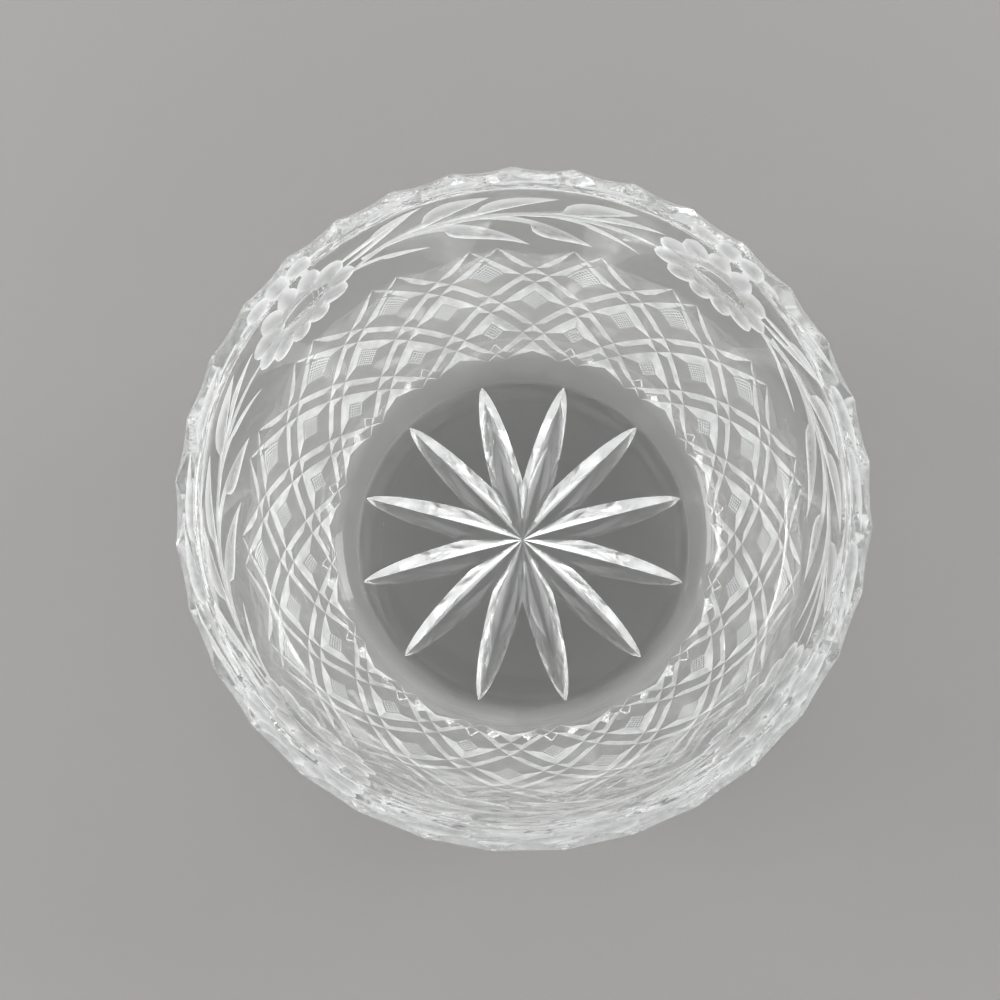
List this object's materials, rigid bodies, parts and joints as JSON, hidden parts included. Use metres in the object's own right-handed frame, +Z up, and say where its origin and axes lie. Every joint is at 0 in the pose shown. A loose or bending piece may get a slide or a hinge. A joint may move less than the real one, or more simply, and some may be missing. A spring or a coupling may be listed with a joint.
{
  "type": "rose bowl",
  "caption": "Round clear cut-glass bowl with a scalloped rim, a leaf and flower band, mitre-cut diamonds and a star-cut foot.",
  "frame": {"origin": "centre of the flat foot, on the surface that the bowl stands on", "axes": "+Z up along the bowl's axis, out of its mouth; +X and +Y across the rim, with one of the four flowers 49 degrees from +X towards +Y"},
  "size_m": [0.1999, 0.1998, 0.108],
  "materials": {
    "clear_glass": "polished clear lead glass, wheel cut"
  },
  "bodies": {
    "root": {"bowl": "clear_glass"}
  },
  "joints": []
}
